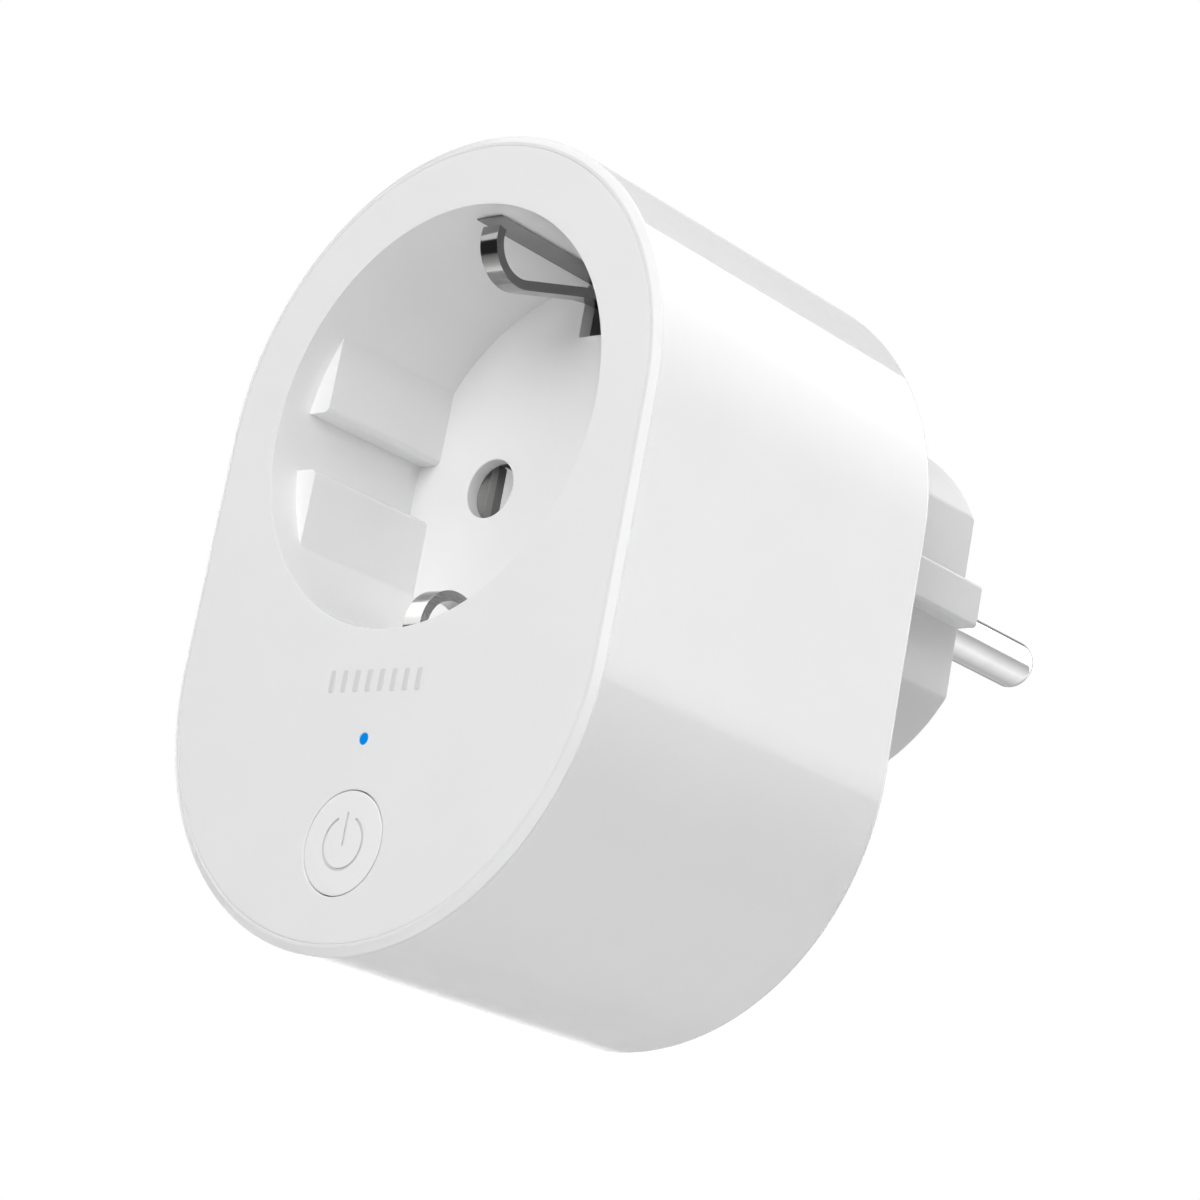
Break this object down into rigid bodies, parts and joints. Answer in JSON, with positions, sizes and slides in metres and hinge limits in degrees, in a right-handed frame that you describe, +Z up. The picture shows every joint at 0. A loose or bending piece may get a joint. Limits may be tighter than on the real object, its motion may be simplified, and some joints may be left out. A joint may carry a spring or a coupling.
{
  "type": "smart plug",
  "caption": "Oval smart plug: recessed round mains socket with side earth springs in front, push button and indicator below it, round plug with pins behind, relay and radio inside.",
  "frame": {"origin": "middle of the plug body's end face, between the two pins", "axes": "+Y from the socket side towards the wall, along the pins; +Z up along the oval face, button at the bottom; +X to the right seen from the front"},
  "size_m": [0.0516, 0.0766, 0.0739],
  "materials": {
    "white_plastic": "semi-gloss moulded polycarbonate",
    "nickel": "bright nickel plate",
    "brass": "bare brass strip",
    "steel": "zinc-plated steel",
    "black_plastic": "matte",
    "board": "green solder mask on glass-epoxy laminate",
    "indicator_blue": "clear light pipe lit blue",
    "lamp": "clear epoxy",
    "relay_blue": "semi-gloss",
    "copper": "enamelled copper winding",
    "capacitor_sleeve": "shrink sleeve",
    "winding_tape": "polyester tape",
    "film_yellow": "moulded box",
    "varistor_blue": "dipped coating",
    "fuse_ceramic": "glazed tube"
  },
  "bodies": {
    "housing": {"board_header": "black_plastic", "bridge_rectifier": "black_plastic", "busbar_live": "brass", "busbar_neutral": "brass", "capacitor_high_voltage": "capacitor_sleeve", "capacitor_output": "capacitor_sleeve", "contact_live": "nickel", "contact_neutral": "nickel", "control_board": "board", "cover_screw_bottom_left": "steel", "cover_screw_bottom_right": "steel", "cover_screw_top_left": "steel", "cover_screw_top_right": "steel", "earth_link": "brass", "earth_plate_bottom": "nickel", "earth_plate_top": "nickel", "earth_sleeve": "brass", "earth_strap_bottom": "brass", "earth_strap_top": "brass", "filter_capacitor": "film_yellow", "front_cover": "white_plastic", "fuse": "fuse_ceramic", "housing_shell": "white_plastic", "indicator_led": "lamp", "light_pipe": "indicator_blue", "metering_chip": "black_plastic", "pin_live": "nickel", "pin_neutral": "nickel", "power_board": "board", "rear_cover": "white_plastic", "rear_earth_contact_bottom": "nickel", "rear_earth_contact_top": "nickel", "relay_base": "black_plastic", "relay_coil": "copper", "relay_core": "steel", "relay_cover": "relay_blue", "relay_fixed_contact": "brass", "relay_yoke": "steel", "shunt": "steel", "switch_body": "black_plastic", "transformer": "winding_tape", "varistor": "varistor_blue", "wifi_board": "black_plastic", "wifi_shield": "steel"},
    "button": {"power_button": "white_plastic"},
    "plunger": {"switch_plunger": "black_plastic"},
    "top_earth_spring": {"earth_spring_top": "nickel"},
    "bottom_earth_spring": {"earth_spring_bottom": "nickel"},
    "live_jaw": {"contact_live_jaw": "nickel"},
    "neutral_jaw": {"contact_neutral_jaw": "nickel"},
    "armature": {"relay_armature": "steel", "relay_moving_contact": "brass"}
  },
  "joints": [
    {"name": "button_press", "type": "slide", "parent": "housing", "child": "button", "axis": [0, 1, 0], "range_m": [0, 0.0005]},
    {"name": "plunger_press", "type": "slide", "parent": "housing", "child": "plunger", "axis": [0, 1, 0], "range_m": [0, 0.00025]},
    {"name": "top_earth_spring_flex", "type": "hinge", "parent": "housing", "child": "top_earth_spring", "pos_m": [0, -0.0402, 0.0175], "axis": [-1, 0, 0], "range_deg": [0, 2]},
    {"name": "bottom_earth_spring_flex", "type": "hinge", "parent": "housing", "child": "bottom_earth_spring", "pos_m": [0, -0.0402, -0.0175], "axis": [1, 0, 0], "range_deg": [0, 2]},
    {"name": "live_jaw_flex", "type": "hinge", "parent": "housing", "child": "live_jaw", "pos_m": [0.00705, -0.0284, 0], "axis": [0, 0, -1], "range_deg": [0, 4]},
    {"name": "neutral_jaw_flex", "type": "hinge", "parent": "housing", "child": "neutral_jaw", "pos_m": [-0.00705, -0.0284, 0], "axis": [0, 0, 1], "range_deg": [0, 4]},
    {"name": "armature_pull", "type": "hinge", "parent": "housing", "child": "armature", "pos_m": [-0.0039, -0.0396, -0.0351], "axis": [-1, 0, 0], "range_deg": [0, 4]}
  ],
  "couplings": [
    {"joint": "plunger_press", "follows": "button_press", "ratio": 0.5}
  ]
}
